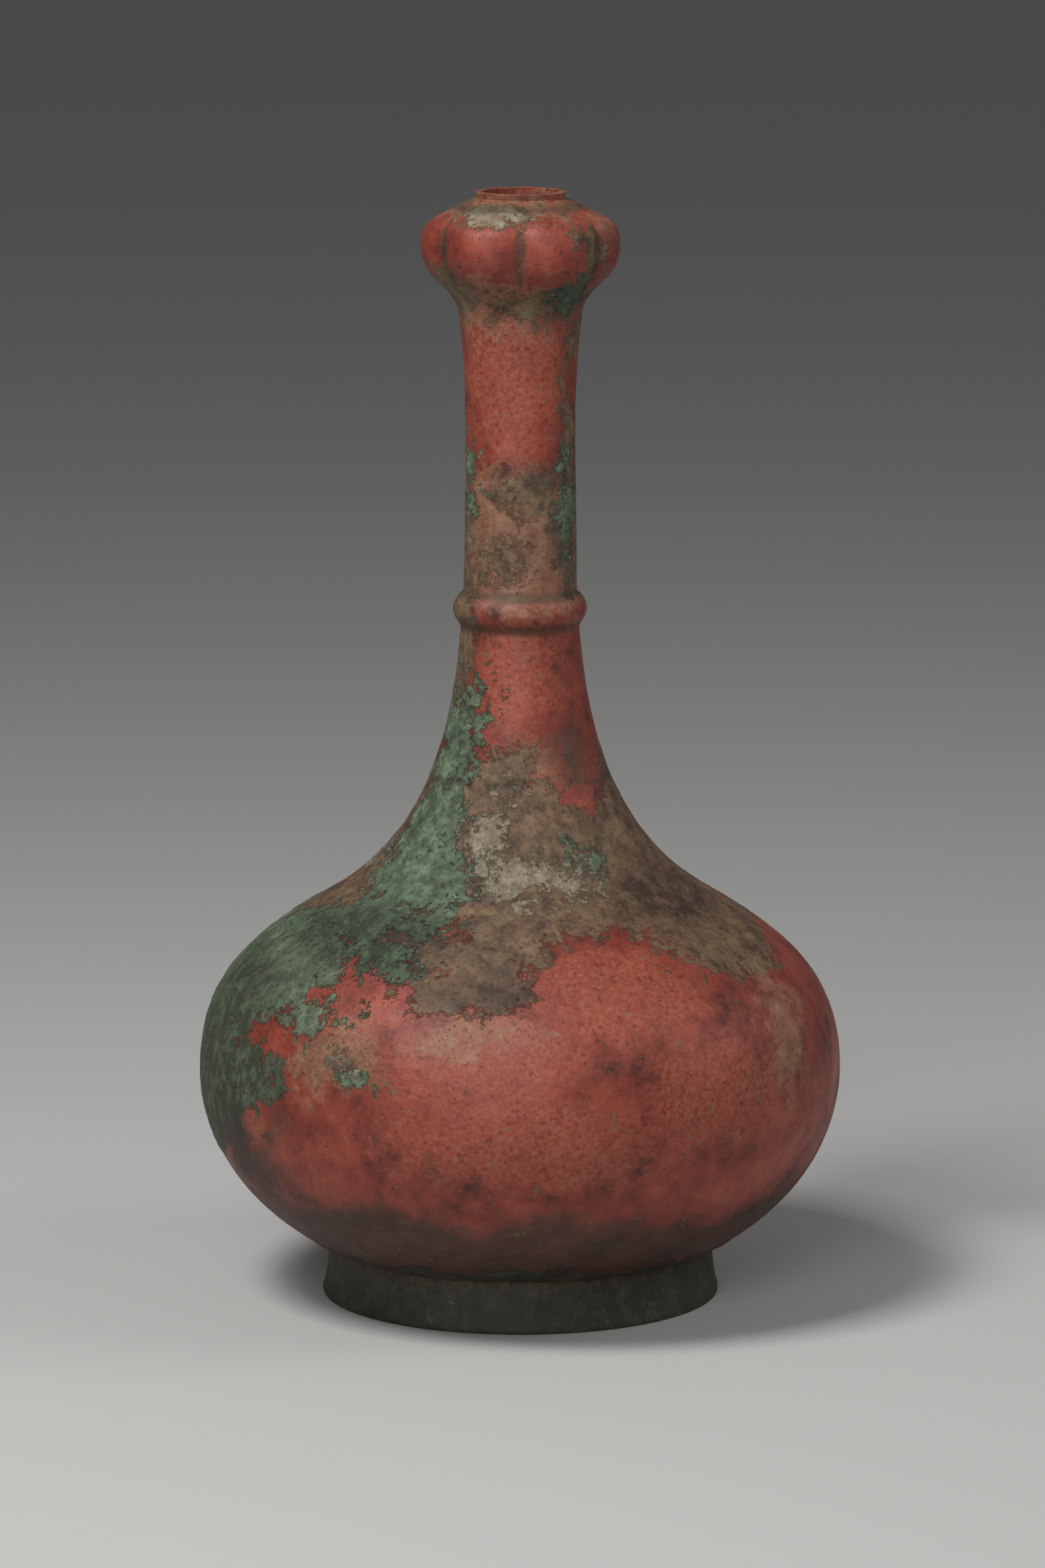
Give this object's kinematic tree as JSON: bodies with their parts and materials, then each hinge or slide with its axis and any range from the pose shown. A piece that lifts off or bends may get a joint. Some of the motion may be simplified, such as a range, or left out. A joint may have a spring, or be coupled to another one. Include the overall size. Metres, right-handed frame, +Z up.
{
  "type": "garlic-mouth bronze vessel",
  "caption": "Ancient cast bronze bottle on a ring foot: round belly, tall neck with a raised ring, and a garlic-shaped head of cloves round a small open mouth.",
  "frame": {"origin": "middle of the circle that the ring foot stands on", "axes": "+Z up along the vessel's axis, -Y towards the side the picture shows"},
  "size_m": [0.2154, 0.2154, 0.37],
  "materials": {
    "patinated_bronze": "cast bronze under red cuprite crust with green malachite and olive-brown patches, half dull"
  },
  "bodies": {
    "root": {"vessel": "patinated_bronze"}
  },
  "joints": []
}
